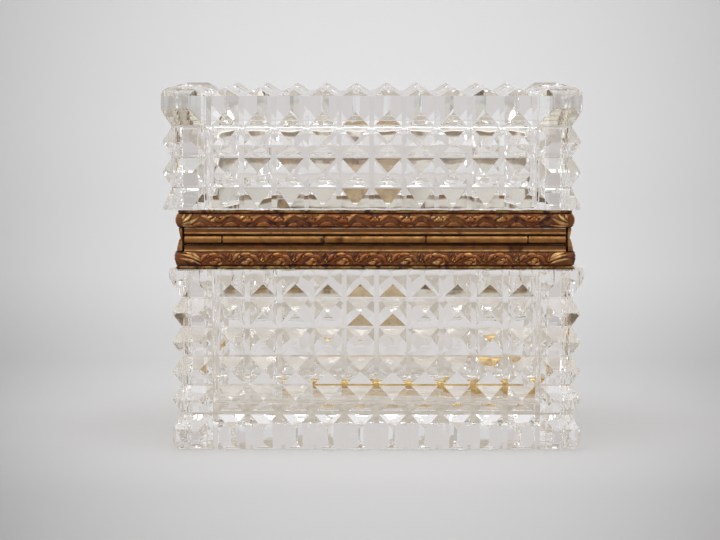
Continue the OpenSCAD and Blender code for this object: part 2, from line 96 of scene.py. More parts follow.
def calc(tree, operation, first, second=0.5, clamp=False):
    node = tree.nodes.new("ShaderNodeMath")
    node.operation = operation
    node.use_clamp = clamp
    for socket, value in ((node.inputs[0], first), (node.inputs[1], second)):
        if isinstance(value, (int, float)):
            socket.default_value = value
        else:
            join(tree, value, socket)
    return node.outputs[0]


def ramp(tree, value, low, high, start=0.0, end=1.0):
    node = tree.nodes.new("ShaderNodeMapRange")
    join(tree, value, node.inputs["Value"])
    node.inputs["From Min"].default_value = low
    node.inputs["From Max"].default_value = high
    node.inputs["To Min"].default_value = start
    node.inputs["To Max"].default_value = end
    return node.outputs["Result"]


def noise(tree, scale, detail=2.0, shift=0.0, stretch=None):
    # cloudy pattern in the object's own space; scale is in lumps per metre
    place = addNode(tree, "ShaderNodeTexCoord").outputs["Object"]
    if stretch:
        turned = addNode(tree, "ShaderNodeMapping", Scale=stretch)
        join(tree, place, turned.inputs["Vector"])
        place = turned.outputs[0]
    node = addNode(tree, "ShaderNodeTexNoise", {"noise_dimensions": "4D"}, Scale=scale, Detail=detail, W=shift)
    join(tree, place, node.inputs["Vector"])
    return node.outputs["Fac"]


def bands(tree, value, low, high, stops):
    # colours at places between low and high
    node = tree.nodes.new("ShaderNodeValToRGB")
    join(tree, ramp(tree, value, low, high), node.inputs[0])
    line = node.color_ramp.elements
    stops = sorted(stops)
    for i, (place, colour) in enumerate(stops):
        spot = line[0] if i == 0 else line[-1] if i == len(stops) - 1 else line.new((place - low) / (high - low))
        spot.position = (place - low) / (high - low)
        spot.color = (*colour, 1)
    return node.outputs[0]


# camera

camera = {
    "lens": 124.85,  # on a 36 mm sensor
    "place": (1.2, 847.4, 134.4),
    "pitch": 5.354,  # looking down
    "yaw": 0.26,     # a little towards +X
}

cameraData = bpy.data.cameras.new("camera")
cameraData.sensor_width = 36
cameraData.lens = camera["lens"]
cameraData.clip_start = 0.05
cameraObject = bpy.data.objects.new("camera", cameraData)
scene.collection.objects.link(cameraObject)
cameraObject.location = Vector(camera["place"]) * mm
cameraObject.rotation_euler = (math.radians(90 - camera["pitch"]), 0, math.radians(180 + camera["yaw"]))
scene.camera = cameraObject
print("camera placed")

# studio

studio = {
    # the paper's grey along its sweep, with painted light and shade on one white paper, as [y less z in metres, grey],
    # from the wall to the table
    "paper": ((-0.75, 0.765), (-0.61, 0.775), (-0.53, 0.758), (-0.47, 0.768), (-0.43, 0.775), (-0.18, 0.68),
              (-0.05, 0.725), (0.02, 0.695), (0.08, 0.625), (0.12, 0.57), (0.20, 0.52), (0.55, 0.68)),
    "floorSize": 3.0,
    "wallBack": -0.62,       # metres behind the box
    "wallBend": 0.30,        # radius of the paper's bend
    "wallHigh": 1.4,
    "edgeFall": (0.21, 0.32),  # how much the light falls off to the sides, on the wall and the floor
    # what glass and metal see of it instead of its lit colour: a painted glow along the same way, darker and warmer
    # near and under the box for painted shade
    "through": ((-0.75, (0.75, 0.735, 0.73)), (-0.66, (0.65, 0.62, 0.605)), (-0.52, (0.63, 0.60, 0.585)),
                (-0.31, (0.71, 0.68, 0.66)), (-0.19, (0.605, 0.565, 0.525)), (-0.10, (0.525, 0.475, 0.41)),
                (-0.05, (0.53, 0.48, 0.41)), (0.0, (0.57, 0.52, 0.45))),
    "sunk": 0.0002,          # metres, so that glass standing on it doesn't share its plane
    "room": (0.40, 0.39, 0.38, 1),
    "sides": (0.72, 0.72, 0.735, 1),
    "above": (0.90, 0.885, 0.87, 1),
    "overhead": (0.76, 0.75, 0.735, 1),
}


def makePaper():
    # paper sweep: one edge pushed back along the floor, up a bend and up the wall
    mesh = bmesh.new()
    side = studio["floorSize"]
    first = [mesh.verts.new((x, side, 0)) for x in (-side, side)]
    front = [mesh.edges.new(first)]
    steps = [(studio["wallBack"] + studio["wallBend"], 0)]
    for i in range(1, 13):
        turn = math.radians(90 * i / 12)
        steps.append((studio["wallBack"] + studio["wallBend"] * (1 - math.sin(turn)),
                      studio["wallBend"] * (1 - math.cos(turn))))
    steps.append((studio["wallBack"], studio["wallHigh"]))
    for y, z in steps:
        grown = bmesh.ops.extrude_edge_only(mesh, edges=front)["geom"]
        moved = {g for g in grown if isinstance(g, bmesh.types.BMVert)}
        for vert in moved:
            vert.co.y, vert.co.z = y, z
        front = [g for g in grown if isinstance(g, bmesh.types.BMEdge) and set(g.verts) == moved]
    mesh.normal_update()
    mesh.faces.ensure_lookup_table()
    if mesh.faces[0].normal.z < 0:
        bmesh.ops.reverse_faces(mesh, faces=mesh.faces)
    for face in mesh.faces:
        face.smooth = True
    data = bpy.data.meshes.new("paper")
    mesh.to_mesh(data)
    mesh.free()
    paper = bpy.data.objects.new("paper", data)
    scene.collection.objects.link(paper)
    data.transform(Matrix.Translation((0, 0, -studio["sunk"])))
    return paper


def paintPaper(paper):
    material, tree, shader = newMaterial("studio paper", Roughness=0.8)
    shader.inputs["Specular IOR Level"].default_value = 0.2
    place = addNode(tree, "ShaderNodeTexCoord")
    parts = addNode(tree, "ShaderNodeSeparateXYZ")
    join(tree, place.outputs["Object"], parts.inputs[0])
    x, y, z = parts.outputs
    way = calc(tree, "SUBTRACT", y, z)
    # the light falls off to both sides of the picture
    half = ramp(tree, y, studio["wallBack"], 0.4, 0.206, 0.068)
    across = calc(tree, "MINIMUM", calc(tree, "DIVIDE", calc(tree, "ABSOLUTE", x), half), 1.05)
    fall = calc(tree, "MULTIPLY", calc(tree, "POWER", across, 2.2),
                ramp(tree, y, studio["wallBack"], -0.2, *studio["edgeFall"]))
    fall = calc(tree, "MULTIPLY", fall, ramp(tree, y, 0.22, 0.5, 1.0, 0.0))
    # painted light and shade along the sweep, on top of what the lamps give
    tone = bands(tree, way, -0.75, 0.55, [(at, (grey, grey, grey * 1.01)) for at, grey in studio["paper"]])
    shade = addNode(tree, "ShaderNodeCombineColor")
    for socket in shade.inputs:
        join(tree, calc(tree, "SUBTRACT", 1.0, fall), socket)
    join(tree, mixColour(tree, 1.0, tone, shade.outputs[0], "MULTIPLY"), shader.inputs["Base Color"])
    # glass and metal see the paper as a painted glow instead of its lit colour, warmer on the table than on the wall,
    # with painted shade near the box and painted caustic patches of light and shade under it
    glow = addNode(tree, "ShaderNodeEmission", Strength=1.0)
    causticCells = addNode(tree, "ShaderNodeTexVoronoi", {"voronoi_dimensions": "2D"}, Scale=105.0)
    join(tree, place.outputs["Object"], causticCells.inputs["Vector"])
    # painted caustic patches of light and shade, only near and under the box
    close = ramp(tree, way, -0.24, -0.08)
    paintedCaustics = calc(tree, "MULTIPLY", calc(tree, "SUBTRACT", causticCells.outputs["Distance"], 0.42), calc(tree, "MULTIPLY", close, 0.4))
    lit = calc(tree, "ADD", paintedCaustics, 1.0)
    warm = addNode(tree, "ShaderNodeCombineColor")
    for socket, part in zip(warm.inputs, (1.0, 1.0, 1.02)):
        join(tree, calc(tree, "MULTIPLY", lit, part), socket)
    join(tree, mixColour(tree, 1.0, bands(tree, way, -0.75, 0.0, studio["through"]), warm.outputs[0], "MULTIPLY"),
         glow.inputs["Color"])
    light = addNode(tree, "ShaderNodeLightPath")
    seen = calc(tree, "ADD", light.outputs["Is Glossy Ray"], light.outputs["Is Transmission Ray"], True)
    blend = addNode(tree, "ShaderNodeMixShader")
    join(tree, seen, blend.inputs[0])
    join(tree, shader.outputs[0], blend.inputs[1])
    join(tree, glow.outputs[0], blend.inputs[2])
    # from behind, the camera looks through the paper
    rear = addNode(tree, "ShaderNodeNewGeometry")
    unseen = calc(tree, "MULTIPLY", light.outputs["Is Camera Ray"], rear.outputs["Backfacing"])
    whole = addNode(tree, "ShaderNodeMixShader")
    join(tree, unseen, whole.inputs[0])
    join(tree, blend.outputs[0], whole.inputs[1])
    join(tree, addNode(tree, "ShaderNodeBsdfTransparent").outputs[0], whole.inputs[2])
    join(tree, whole.outputs[0], tree.nodes["Material Output"].inputs["Surface"])
    giveMaterial(paper, material)


paintPaper(makePaper())


def makeWorld():
    # dim room behind the camera, paler sides, and a white ceiling of light
    world = bpy.data.worlds.new("studio")
    scene.world = world
    world.use_nodes = True
    tree = world.node_tree
    place = addNode(tree, "ShaderNodeTexCoord")
    parts = addNode(tree, "ShaderNodeSeparateXYZ")
    join(tree, place.outputs["Generated"], parts.inputs[0])
    low = mixColour(tree, ramp(tree, parts.outputs[1], 0.25, 0.95), studio["sides"], studio["room"])
    sky = mixColour(tree, ramp(tree, parts.outputs[2], 0.1, 0.75), low, studio["above"])
    join(tree, mixColour(tree, ramp(tree, parts.outputs[2], 0.88, 0.98), sky, studio["overhead"]),
         tree.nodes["Background"].inputs["Color"])
    tree.nodes["Background"].inputs["Strength"].default_value = 1.0


makeWorld()


def addLamp(name, where, size, power, colour=(1, 1, 1)):
    data = bpy.data.lights.new(name, "AREA")
    data.shape = "RECTANGLE"
    data.size, data.size_y = size
    data.energy = power
    data.color = colour
    lamp = bpy.data.objects.new(name, data)
    scene.collection.objects.link(lamp)
    lamp.location = where
    lamp.rotation_euler = (Vector((0, 0, 0.06)) - Vector(where)).to_track_quat("-Z", "Y").to_euler()
    return lamp


addLamp("top soft box", (0, 0.25, 0.9), (0.9, 0.7), 4)
addLamp("side soft box", (0.8, 0.9, 0.55), (0.5, 0.7), 2)
print("studio ready")

# crystal

band = {               # the CAD's sizes, in millimetres
    "halfX": 61.3, "halfY": 39.1, "glassTop": 59.0, "parting": 68.75,
    "bead": 1.3, "frieze": 5.88, "quirk": 0.4, "belly": 0.45,
    "baseFull": 3.4, "lidFull": 2.85,
}

crystalCut = {
    "edge": 0.12,        # polished edge, in millimetres
    "corner": 0.8,       # the same, on the lid's upper corners
    "wave": 0.09,        # depth of the faces' slight waves
    "cloudy": 0.10,      # roughness of the same corners
    "ior": 1.5,
    "tint": (0.985, 0.985, 0.978, 1),
    "thick": (56.0, 34.0),  # beyond these the glass is solid, and tints what is seen through it
    # painted shade by height in the solid corners, row by row over the glass's own slight tint, a greyer one where a
    # facet looks up
    "cornerShadeByHeight": ((0.0, (0.86, 0.85, 0.84)), (11.5, (0.86, 0.85, 0.84)), (12.1, (0.94, 0.925, 0.91)),
              (59.0, (0.94, 0.925, 0.91)), (60.0, (0.82, 0.81, 0.79)), (85.3, (0.80, 0.79, 0.77)),
              (85.7, (0.86, 0.84, 0.83)), (90.4, (0.86, 0.84, 0.83)), (90.6, (0.70, 0.71, 0.67)),
              (95.3, (0.70, 0.71, 0.67)), (95.7, (0.86, 0.83, 0.82)), (100.4, (0.86, 0.83, 0.82)),
              (100.6, (0.76, 0.74, 0.72)), (105.3, (0.76, 0.74, 0.72)), (105.7, (0.57, 0.54, 0.46)),
              (111.5, (0.58, 0.55, 0.48)), (112.5, (0.70, 0.69, 0.67)), (118.0, (0.74, 0.73, 0.71))),
}


def makeCrystal():
    material, tree, shader = newMaterial("clear crystal", Roughness=0.0, IOR=crystalCut["ior"])
    shader.inputs["Transmission Weight"].default_value = 1.0
    parts = addNode(tree, "ShaderNodeSeparateXYZ")
    join(tree, addNode(tree, "ShaderNodeTexCoord").outputs["Object"], parts.inputs[0])
    x, y, z = (calc(tree, "MULTIPLY", socket, 1000.0) for socket in parts.outputs)
    corner = calc(tree, "MULTIPLY", *(calc(tree, "GREATER_THAN", calc(tree, "ABSOLUTE", socket), edge)
                                      for socket, edge in zip((x, y), crystalCut["thick"])))
    # the solid corners take the painted shade by height, the rest the glass's plain tint
    join(tree, mixColour(tree, corner, crystalCut["tint"], bands(tree, z, 0.0, 118.0, crystalCut["cornerShadeByHeight"])),
         shader.inputs["Base Color"])
    corner = calc(tree, "MULTIPLY", corner, calc(tree, "GREATER_THAN", z, 105.5))
    join(tree, calc(tree, "MULTIPLY", corner, crystalCut["cloudy"]), shader.inputs["Roughness"])
    radius = calc(tree, "ADD", crystalCut["edge"] * mm, calc(tree, "MULTIPLY", corner, crystalCut["corner"] * mm))
    eased = addNode(tree, "ShaderNodeBevel", {"samples": 6})
    join(tree, radius, eased.inputs["Radius"])
    wave = addNode(tree, "ShaderNodeBump", Strength=1.0, Distance=crystalCut["wave"] * mm)
    join(tree, noise(tree, 130, 1.0, 3.0), wave.inputs["Height"])
    join(tree, eased.outputs[0], wave.inputs["Normal"])
    join(tree, wave.outputs[0], shader.inputs["Normal"])
    # lamps and soft light reach the metal and the key inside
    light = addNode(tree, "ShaderNodeLightPath")
    passes = calc(tree, "ADD", light.outputs["Is Shadow Ray"], light.outputs["Is Diffuse Ray"], True)
    clear = addNode(tree, "ShaderNodeBsdfTransparent", Color=(0.94, 0.94, 0.93, 1))
    blend = addNode(tree, "ShaderNodeMixShader")
    join(tree, passes, blend.inputs[0])
    join(tree, shader.outputs[0], blend.inputs[1])
    join(tree, clear.outputs[0], blend.inputs[2])
    join(tree, blend.outputs[0], tree.nodes["Material Output"].inputs["Surface"])
    return material


crystal = makeCrystal()
for name in ("base_glass", "lid_glass"):
    giveMaterial(frame["nodes"][name], crystal)


def seatOnGlass(node, body, gap=0.03):
    # the same shape, with a film's gap to the glass, so that light inside the glass meets its face
    mesh = bmesh.new()
    mesh.from_mesh(frame["nodes"][node].data)
    bmesh.ops.remove_doubles(mesh, verts=mesh.verts, dist=0.002 * mm)
    bmesh.ops.dissolve_limit(mesh, angle_limit=math.radians(0.5), verts=mesh.verts, edges=mesh.edges)
    rim = band["glassTop"] if body == "base" else 2 * band["parting"] - band["glassTop"]
    touching = [v for v in mesh.verts if abs(v.co.z / mm - rim) < 0.01]
    bmesh.ops.translate(mesh, verts=touching, vec=(0, 0, math.copysign(gap * mm, band["parting"] - rim)))
    data = bpy.data.meshes.new(node + "_seated")
    mesh.to_mesh(data)
    mesh.free()
    piece = bpy.data.objects.new(node + "_seated", data)
    scene.collection.objects.link(piece)
    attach(piece, body)
    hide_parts(node)
    return piece


seated = {}
for body in ("base", "lid"):
    seated[body + "_cement_bed"] = seatOnGlass(body + "_cement_bed", body)
    seated[body + "_rim_frame"] = seatOnGlass(body + "_rim_frame", body)
    for side in ("front", "back", "left", "right"):
        name = body + "_moulding_" + side
        seated[name] = seatOnGlass(name, body)
print("glass and its seats ready")

# leaf friezes: a running laurel on the base, hanging swags on the lid, acanthus leaves at the corners

garland = {
    "pitch": 9.9, "clearEnd": 4.6, "bossHalf": 4.1, "longer": 1.06, "wider": 1.32,
    # place in the pitch, height from the bead to the hinge, turn, length, width, bend, lift, glow (how bright its top
    # is painted: gilding and painted highlight)
    "laurel": (
        (0.02, 0.26, 44, 3.9, 1.25, 0.14, 0.50, 0.62), (0.27, 0.80, -3, 3.7, 1.35, 0.10, 0.55, 0.74),
        (0.56, 0.80, -40, 3.8, 1.20, 0.12, 0.48, 0.58), (0.29, 0.17, 24, 3.0, 1.40, -0.24, 0.62, 1.00),
        (0.44, 0.44, -24, 2.4, 0.95, 0.20, 0.50, 0.88), (0.70, 0.24, -158, 1.9, 0.80, 0.20, 0.42, 0.80),
        (0.12, 0.60, 128, 1.8, 0.75, 0.10, 0.34, 0.34), (0.86, 0.62, 58, 1.8, 0.75, 0.10, 0.34, 0.38),
        (0.78, 0.08, 8, 2.5, 0.80, 0.05, 0.32, 0.46), (0.05, 0.08, 2, 2.2, 0.75, 0.00, 0.30, 0.42),
        (0.22, 0.50, 62, 1.6, 0.65, 0.00, 0.36, 0.66), (0.62, 0.55, -70, 1.7, 0.65, 0.00, 0.36, 0.60)),
    "laurelBerries": ((0.93, 0.40, 0.40), (0.99, 0.30, 0.36), (0.96, 0.53, 0.34), (0.40, 0.30, 0.34)),
    "swag": (
        (0.02, 0.10, 32, 3.7, 1.20, -0.15, 0.48, 0.66), (0.31, 0.54, 3, 3.6, 1.30, -0.12, 0.52, 0.72),
        (0.64, 0.58, -34, 3.9, 1.15, -0.13, 0.50, 0.84), (0.41, 0.20, 162, 2.1, 0.90, 0.10, 0.46, 0.92),
        (0.58, 0.22, 16, 2.1, 0.90, -0.10, 0.44, 0.86), (-0.26, 0.90, 4, 5.0, 1.75, -0.07, 0.44, 0.56),
        (0.24, 0.84, 24, 2.6, 1.00, 0.08, 0.34, 0.42), (0.48, 0.98, -14, 2.6, 1.00, 0.08, 0.34, 0.46),
        (0.18, 0.42, -40, 1.6, 0.65, 0.00, 0.34, 0.60), (0.84, 0.36, -140, 1.6, 0.65, 0.00, 0.34, 0.66)),
    "swagBerries": ((0.50, 0.26, 0.50), (0.43, 0.38, 0.34), (0.57, 0.39, 0.34), (0.50, 0.50, 0.30)),
    # the same, for the corner leaves: from the mitre inwards in millimetres, height in millimetres
    "laurelCorner": (
        (-4.9, 1.85, 14, 7.2, 1.30, 0.05, 0.62, 1.00), (-5.3, 2.70, 18, 7.4, 1.35, 0.06, 0.68, 0.96),
        (-5.0, 3.60, 20, 7.0, 1.30, 0.06, 0.62, 1.00), (-4.3, 4.50, 18, 6.0, 1.15, 0.04, 0.50, 0.86)),
    "swagCorner": (
        (1.2, 5.10, 182, 6.0, 1.45, -0.10, 0.52, 0.90), (1.3, 4.70, 202, 6.2, 1.60, -0.10, 0.66, 1.00),
        (1.2, 4.10, 224, 5.0, 1.50, -0.08, 0.66, 1.00), (1.0, 3.40, 250, 2.6, 1.20, 0.00, 0.50, 0.90)),
}


def leafShape(u):
    return max(math.sin(math.pi * min(max(u, 0.02), 0.985) ** 0.8), 0.03) ** 0.75


def addLeaf(mesh, leaf, root, turn, long, wide, bend, lift, glow, cells=5):
    # a closed leaf in flat frieze space: x along, y from the bead to the hinge, z out of the ground
    made = bmesh.ops.create_grid(mesh, x_segments=cells, y_segments=2, size=0.5)["verts"]
    faces = list({f for v in made for f in v.link_faces})
    grown = bmesh.ops.extrude_face_region(mesh, geom=faces)["geom"]
    top = {v for v in grown if isinstance(v, bmesh.types.BMVert)}
    spin = Matrix.Rotation(math.radians(turn), 2)
    for vert in set(made) | top:
        u, v = vert.co.x + 0.5, vert.co.y * 2
        flat = spin @ Vector((u * long, v * wide / 2 * leafShape(u) + 4 * bend * long * (u - u * u)))
        # the top is painted brighter the further it stands out, partly gilding on the high points and partly painted
        # highlight, fading to dark at the foot for painted shade
        if vert in top:
            out = 0.08 + lift * (0.35 + 0.65 * math.sin(math.pi * min(0.12 + u, 1.0))) * (1 - 0.8 * v * v)
            vert[leaf] = (u, abs(v), glow * min(1.0, 0.25 + out / (0.12 + lift)))
        else:
            out = -0.35
            vert[leaf] = (u, 1.0, 0.0)
        vert.co = (root[0] + flat.x, root[1] + flat.y, out)


def addBerry(mesh, leaf, where, radius, glow):
    made = bmesh.ops.create_uvsphere(mesh, u_segments=8, v_segments=5, radius=radius)["verts"]
    for vert in made:
        # brighter towards the crown: partly gilding and partly painted highlight
        up = max(vert.co.z, 0) / radius
        vert[leaf] = (0.5, 1 - up, glow * (0.2 + 0.8 * up))
        vert.co += Vector((where[0], where[1], 0.14))


def addStem(mesh, leaf, start, end, line, radius=0.24):
    # a round stem, pushed along the frieze in short steps
    steps = max(2, round((end - start) / 0.9))
    ring = bmesh.ops.create_circle(mesh, cap_ends=True, segments=6, radius=radius)["verts"]
    for vert in ring:
        vert.co = (start, line(start) + vert.co.x, 0.12 + vert.co.y)
        vert[leaf] = (0.5, 0.5, 0.32)
    face = ring[0].link_faces[0]
    for i in range(steps):
        here, there = (start + (end - start) * k / steps for k in (i, i + 1))
        grown = bmesh.ops.extrude_face_region(mesh, geom=[face])["geom"]
        if i:
            bmesh.ops.delete(mesh, geom=[face], context="FACES_ONLY")
        face = next(g for g in grown if isinstance(g, bmesh.types.BMFace))
        bmesh.ops.translate(mesh, verts=face.verts, vec=(there - here, line(there) - line(here), 0))


def garlandSide(mesh, leaf, half, lid, boss, seed):
    # one side of a frieze, in flat frieze space, left to right as seen from outside
    chance = random.Random(seed)
    low = band["bead"] + band["quirk"] / 2
    rise = band["frieze"] - band["quirk"] / 2 - low
    clear = half - garland["clearEnd"]
    count = round(2 * clear / garland["pitch"])
    pitch = 2 * clear / count
    leaves, berries = (garland["swag"], garland["swagBerries"]) if lid else (garland["laurel"], garland["laurelBerries"])

    def line(s):
        wave = 0.5 - 0.5 * math.cos(2 * math.pi * (s + clear) / pitch)
        return low + rise * (0.14 + (0.42 if lid else 0.56) * wave)

    def free(a, b):
        return not boss or min(a, b) > garland["bossHalf"] or max(a, b) < -garland["bossHalf"]

    spans = ((-clear, -garland["bossHalf"]), (garland["bossHalf"], clear)) if boss else ((-clear, clear),)
    for span in spans:
        addStem(mesh, leaf, *span, line)
    for i in range(count):
        start = -clear + pitch * i
        for place, high, turn, long, wide, bend, lift, glow in leaves:
            turn += chance.uniform(-5, 5)
            size = garland["longer"] * chance.uniform(0.92, 1.07)
            s = start + place * pitch + chance.uniform(-0.12, 0.12)
            if free(s, s + long * size * math.cos(math.radians(turn))):
                addLeaf(mesh, leaf, (s, low + rise * high), turn, long * size, wide * size * garland["wider"], bend,
                        lift, glow * chance.uniform(0.75, 1.1), 6 if long > 3 else 4)
        for place, high, radius in berries:
            s = start + place * pitch + chance.uniform(-0.1, 0.1)
            if free(s, s):
                addBerry(mesh, leaf, (s, low + rise * high), radius, chance.uniform(0.75, 1.0))
    for end in (-1, 1):
        for place, high, turn, long, wide, bend, lift, glow in garland["swagCorner" if lid else "laurelCorner"]:
            across = turn if end > 0 else 180 - turn
            addLeaf(mesh, leaf, (end * (half + place), high), across, long, wide, bend * end, lift, glow, 7)


def wrapSide(mesh, side, full, lid):
    # flat frieze space to the real place on one side of a band
    along, away = (band["halfX"], band["halfY"]) if side in ("front", "back") else (band["halfY"], band["halfX"])
    low, top = band["bead"] + band["quirk"] / 2, band["frieze"] - band["quirk"] / 2
    for vert in mesh.verts:
        s, high, relief = vert.co
        high = min(max(high, low - 0.1), top + 0.1)
        c = 2 * (high - low) / (top - low) - 1
        out = full - band["belly"] * min(c * c, 1.3) + relief
        s = max(min(s, along + out - 0.04), -along - out + 0.04)
        z = band["glassTop"] + high
        if lid:
            z = 2 * band["parting"] - z
        out += away
        vert.co = Vector({"back": (-s, out, z), "front": (s, -out, z),
                          "right": (out, s, z), "left": (-out, -s, z)}[side]) * mm


def makeFrieze(side, lid):
    name = ("lid" if lid else "base") + "_garland_" + side
    mesh = bmesh.new()
    leaf = mesh.verts.layers.float_vector.new("leaf")
    half = band["halfX"] if side in ("front", "back") else band["halfY"]
    garlandSide(mesh, leaf, half, lid, side == "front" and not lid, name)
    wrapSide(mesh, side, band["lidFull"] if lid else band["baseFull"], lid)
    bmesh.ops.recalc_face_normals(mesh, faces=mesh.faces)
    for face in mesh.faces:
        face.smooth = True
    data = bpy.data.meshes.new(name)
    mesh.to_mesh(data)
    mesh.free()
    piece = bpy.data.objects.new(name, data)
    scene.collection.objects.link(piece)
    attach(piece, "lid" if lid else "base")
    return piece


friezes = [makeFrieze(side, lid) for lid in (False, True) for side in ("front", "back", "left", "right")]
print("friezes made", sum(len(piece.data.polygons) for piece in friezes))

# crumbs of old cement and verdigris in the corner between the mouldings and the glass
crumbs = {"spacing": 2.3, "size": (0.14, 0.46), "out": 0.25}


def makeCrumbs(body):
    mesh = bmesh.new()
    chance = random.Random(body)
    lid = body == "lid"
    full = band["lidFull"] if lid else band["baseFull"]
    z, up = (2 * band["parting"] - band["glassTop"], -1) if lid else (band["glassTop"], 1)
    for i, (half, away) in enumerate(((band["halfX"], band["halfY"]), (band["halfY"], band["halfX"])) * 2):
        turn = Matrix.Rotation(math.radians(90 * i), 3, "Z")
        for k in range(round(2 * half / crumbs["spacing"])):
            size = chance.uniform(*crumbs["size"]) * chance.uniform(0.6, 1.0)
            made = bmesh.ops.create_icosphere(mesh, subdivisions=1, radius=size)["verts"]
            stretch = Vector((chance.uniform(1.0, 2.6), chance.uniform(0.6, 1.0), 0.55))
            where = Vector((chance.uniform(-half, half), away + full + crumbs["out"] * chance.uniform(-0.6, 1.0),
                            z + up * (0.03 + size * 0.55)))
            for vert in made:
                vert.co *= chance.uniform(0.8, 1.15)
                vert.co = turn @ (where + vert.co * stretch) * mm
    for face in mesh.faces:
        face.smooth = True
    data = bpy.data.meshes.new(body + "_crumbs")
    mesh.to_mesh(data)
    mesh.free()
    piece = bpy.data.objects.new(body + "_crumbs", data)
    scene.collection.objects.link(piece)
    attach(piece, body)
    return piece


residue = [makeCrumbs(body) for body in ("base", "lid")]
print("crumbs made")

# metals


def newGroup(name, inputs, outputs):
    tree = bpy.data.node_groups.new(name, "ShaderNodeTree")
    kinds = {"c": "NodeSocketColor", "f": "NodeSocketFloat"}
    for label, kind, value in inputs:
        tree.interface.new_socket(label, in_out="INPUT", socket_type=kinds[kind]).default_value = value
    for label, kind in outputs:
        tree.interface.new_socket(label, in_out="OUTPUT", socket_type=kinds[kind])
    return tree, tree.nodes.new("NodeGroupInput"), tree.nodes.new("NodeGroupOutput")


def makePatina():
    # cloudy tarnish over a clean metal, stains in patches, and a fine cast grain
    tree, given, result = newGroup(
        "patina",
        (("Clean", "c", (0.5, 0.3, 0.1, 1)), ("Dull", "c", (0.2, 0.1, 0.05, 1)), ("Stain", "c", (0.05, 0.03, 0.02, 1)),
         ("Tarnish", "f", 0.5), ("Stained", "f", 0.4), ("Smooth", "f", 0.3)),
        (("Colour", "c"), ("Roughness", "f"), ("Height", "f")))
    cloud = noise(tree, 260, 4.0)
    speck = noise(tree, 1100, 3.0, 2.3)
    blot = noise(tree, 420, 3.0, 7.1)
    grain = noise(tree, 5200, 2.0, 4.4)
    dull = calc(tree, "MULTIPLY", ramp(tree, calc(tree, "ADD", cloud, calc(tree, "MULTIPLY", speck, 0.35)), 0.55, 0.8),
                calc(tree, "MULTIPLY", given.outputs["Tarnish"], 1.6), True)
    dark = calc(tree, "MULTIPLY", ramp(tree, blot, 0.54, 0.66), given.outputs["Stained"], True)
    tone = mixColour(tree, dull, given.outputs["Clean"], given.outputs["Dull"])
    tone = mixColour(tree, dark, tone, given.outputs["Stain"])
    join(tree, tone, result.inputs["Colour"])
    rough = calc(tree, "ADD", given.outputs["Smooth"], calc(tree, "MULTIPLY", calc(tree, "ADD", dull, dark), 0.2))
    join(tree, calc(tree, "ADD", rough, calc(tree, "MULTIPLY", speck, 0.12), True), result.inputs["Roughness"])
    height = calc(tree, "ADD", calc(tree, "MULTIPLY", speck, 0.7), calc(tree, "MULTIPLY", grain, 0.3))
    join(tree, height, result.inputs["Height"])
    return tree


patina = makePatina()


def patinaMetal(name, clean, dull, stain, tarnish, stained, smooth, bump=0.25, metallic=1.0):
    # returns the material's tree with the patina node, so that colours can be linked into it
    material, tree, shader = newMaterial(name, Metallic=metallic)
    node = addNode(tree, "ShaderNodeGroup", {"node_tree": patina}, Tarnish=tarnish, Stained=stained, Smooth=smooth)
    for socket, value in (("Clean", clean), ("Dull", dull), ("Stain", stain)):
        node.inputs[socket].default_value = (*value, 1)
    join(tree, node.outputs["Colour"], shader.inputs["Base Color"])
    join(tree, node.outputs["Roughness"], shader.inputs["Roughness"])
    lump = addNode(tree, "ShaderNodeBump", Strength=bump, Distance=0.15 * mm)
    join(tree, node.outputs["Height"], lump.inputs["Height"])
    join(tree, lump.outputs[0], shader.inputs["Normal"])
    return material, tree, shader, node, lump


def heightOver(tree):
    # height over the glass in millimetres, on both bands, and the place in millimetres
    parts = addNode(tree, "ShaderNodeSeparateXYZ")
    join(tree, addNode(tree, "ShaderNodeTexCoord").outputs["Object"], parts.inputs[0])
    x, y, z = (calc(tree, "MULTIPLY", socket, 1000.0) for socket in parts.outputs)
    away = calc(tree, "ABSOLUTE", calc(tree, "SUBTRACT", z, band["parting"]))
    return calc(tree, "SUBTRACT", band["parting"] - band["glassTop"], away), x, y, z


def stainAt(tree, x, place, half, soft=0.6):
    # one where x lies within half of place
    off = calc(tree, "ABSOLUTE", calc(tree, "SUBTRACT", x, place))
    return calc(tree, "SUBTRACT", 1.0, ramp(tree, off, half - soft, half + soft))


def addCement(tree, shader, node, mask):
    # pale cement in place of the metal, where the mask is one
    join(tree, mixColour(tree, mask, node.outputs["Colour"], (0.92, 0.895, 0.855, 1)), shader.inputs["Base Color"])
    join(tree, calc(tree, "SUBTRACT", 1.0, mask), shader.inputs["Metallic"])
    join(tree, calc(tree, "ADD", node.outputs["Roughness"], calc(tree, "MULTIPLY", mask, 0.4), True),
         shader.inputs["Roughness"])


